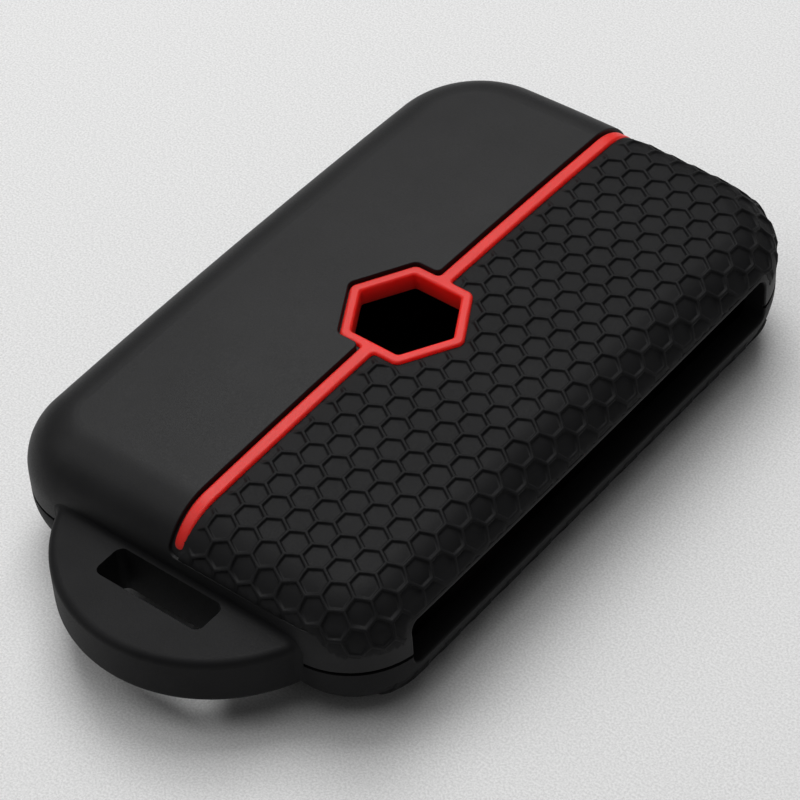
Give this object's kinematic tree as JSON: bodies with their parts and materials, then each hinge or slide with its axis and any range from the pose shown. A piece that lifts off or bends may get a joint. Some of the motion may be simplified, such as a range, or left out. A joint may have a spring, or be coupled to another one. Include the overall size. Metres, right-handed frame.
{
  "type": "key fob cover",
  "caption": "Soft moulded cover for a card-shaped remote key, with a side entry slot, a honeycomb grip, a hexagonal window, push-through pads and a key-ring lug.",
  "frame": {"origin": "middle of the bounding box in plan, on the flat back face that the cover lies on", "axes": "+Z out of the front face, +Y along the long side away from the key-ring lug, +X to the side with the entry slot"},
  "size_m": [0.0441, 0.0793, 0.0159],
  "materials": {
    "black_silicone": "matte moulded silicone",
    "red_silicone": "matte moulded silicone"
  },
  "bodies": {
    "cover": {"front_shell": "black_silicone", "back_shell": "black_silicone", "ring_lug": "black_silicone", "accent_inlay": "red_silicone", "grip_ribs": "black_silicone", "button_web_lock": "black_silicone", "button_web_unlock": "black_silicone", "button_web_boot": "black_silicone", "button_web_light": "black_silicone"},
    "lock_button": {"button_pad_lock": "black_silicone"},
    "unlock_button": {"button_pad_unlock": "black_silicone"},
    "boot_button": {"button_pad_boot": "black_silicone"},
    "light_button": {"button_pad_light": "black_silicone"}
  },
  "joints": [
    {"name": "lock_press", "type": "slide", "parent": "cover", "child": "lock_button", "axis": [0, 0, 1], "range_m": [0, 0.0009], "stiffness_N_per_m": 2000, "deforming": ["button_web_lock"]},
    {"name": "unlock_press", "type": "slide", "parent": "cover", "child": "unlock_button", "axis": [0, 0, 1], "range_m": [0, 0.0009], "stiffness_N_per_m": 2000, "deforming": ["button_web_unlock"]},
    {"name": "boot_press", "type": "slide", "parent": "cover", "child": "boot_button", "axis": [0, 0, 1], "range_m": [0, 0.0009], "stiffness_N_per_m": 2000, "deforming": ["button_web_boot"]},
    {"name": "light_press", "type": "slide", "parent": "cover", "child": "light_button", "axis": [0, 0, 1], "range_m": [0, 0.0009], "stiffness_N_per_m": 2000, "deforming": ["button_web_light"]}
  ]
}
